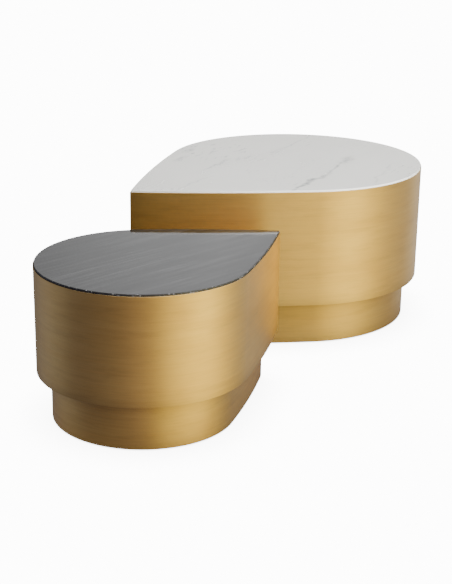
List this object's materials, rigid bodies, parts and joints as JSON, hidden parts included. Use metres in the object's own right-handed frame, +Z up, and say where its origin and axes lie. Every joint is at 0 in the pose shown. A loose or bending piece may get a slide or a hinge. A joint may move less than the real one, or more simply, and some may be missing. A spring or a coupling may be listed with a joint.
{
  "type": "nesting tables",
  "caption": "Nesting pair of teardrop drum tables: stone slabs set in brushed brass drums on inset plinths, each on levelling feet.",
  "frame": {"origin": "on the floor, under the middle of the pair's bounding box", "axes": "+X along the large table's own axis, from its tip to its round end; +Z up; -X, -Y is the side on which the small table stands"},
  "size_m": [1.4619, 0.9882, 0.45],
  "materials": {
    "white_marble": "honed white marble with sparse grey veins",
    "black_stone": "polished black stone with fine grey veins",
    "brass": "brushed antique brass, lacquered",
    "board": "raw medium-density board",
    "plywood": "raw birch plywood",
    "black_board": "board sealed with matt black paint",
    "zinc": "zinc-plated steel",
    "clear_pad": "translucent silicone",
    "black_nylon": "moulded nylon on a steel stud"
  },
  "bodies": {
    "large_table": {"large_top": "white_marble", "large_top_pads": "clear_pad", "large_deck": "board", "large_drum_skin": "brass", "large_drum_lining": "plywood", "large_drum_nose_post": "plywood", "large_drum_long_rib": "plywood", "large_drum_round_rib": "plywood", "large_drum_tip_rib": "plywood", "large_soffit_board": "board", "large_soffit_trim": "brass", "large_plinth_skin": "brass", "large_plinth_lining": "plywood", "large_plinth_cap": "board", "large_plinth_long_rib": "plywood", "large_plinth_cross_rib": "plywood", "large_base_board": "black_board", "large_base_screws": "zinc", "large_joining_bolts": "zinc", "large_joining_washers": "zinc", "large_joining_nuts": "zinc", "large_foot_nuts": "zinc"},
    "small_table": {"small_top": "black_stone", "small_top_pads": "clear_pad", "small_deck": "board", "small_drum_skin": "brass", "small_drum_lining": "plywood", "small_drum_nose_post": "plywood", "small_drum_long_rib": "plywood", "small_drum_round_rib": "plywood", "small_drum_tip_rib": "plywood", "small_soffit_board": "board", "small_soffit_trim": "brass", "small_plinth_skin": "brass", "small_plinth_lining": "plywood", "small_plinth_cap": "board", "small_plinth_long_rib": "plywood", "small_plinth_cross_rib": "plywood", "small_base_board": "black_board", "small_base_screws": "zinc", "small_joining_bolts": "zinc", "small_joining_washers": "zinc", "small_joining_nuts": "zinc", "small_foot_nuts": "zinc"},
    "large_foot_tip": {"large_foot_tip": "black_nylon"},
    "large_foot_round": {"large_foot_round": "black_nylon"},
    "large_foot_left": {"large_foot_left": "black_nylon"},
    "large_foot_right": {"large_foot_right": "black_nylon"},
    "small_foot_tip": {"small_foot_tip": "black_nylon"},
    "small_foot_round": {"small_foot_round": "black_nylon"},
    "small_foot_left": {"small_foot_left": "black_nylon"},
    "small_foot_right": {"small_foot_right": "black_nylon"}
  },
  "joints": [
    {"name": "small_table_nesting", "type": "slide", "parent": "large_table", "child": "small_table", "axis": [0.6293, 0.7771, 0], "range_m": [-0.3, 0.15]},
    {"name": "large_foot_tip_height", "type": "slide", "parent": "large_table", "child": "large_foot_tip", "axis": [0, 0, -1], "range_m": [0, 0.01]},
    {"name": "large_foot_round_height", "type": "slide", "parent": "large_table", "child": "large_foot_round", "axis": [0, 0, -1], "range_m": [0, 0.01]},
    {"name": "large_foot_left_height", "type": "slide", "parent": "large_table", "child": "large_foot_left", "axis": [0, 0, -1], "range_m": [0, 0.01]},
    {"name": "large_foot_right_height", "type": "slide", "parent": "large_table", "child": "large_foot_right", "axis": [0, 0, -1], "range_m": [0, 0.01]},
    {"name": "small_foot_tip_height", "type": "slide", "parent": "small_table", "child": "small_foot_tip", "axis": [0, 0, -1], "range_m": [0, 0.01]},
    {"name": "small_foot_round_height", "type": "slide", "parent": "small_table", "child": "small_foot_round", "axis": [0, 0, -1], "range_m": [0, 0.01]},
    {"name": "small_foot_left_height", "type": "slide", "parent": "small_table", "child": "small_foot_left", "axis": [0, 0, -1], "range_m": [0, 0.01]},
    {"name": "small_foot_right_height", "type": "slide", "parent": "small_table", "child": "small_foot_right", "axis": [0, 0, -1], "range_m": [0, 0.01]}
  ]
}
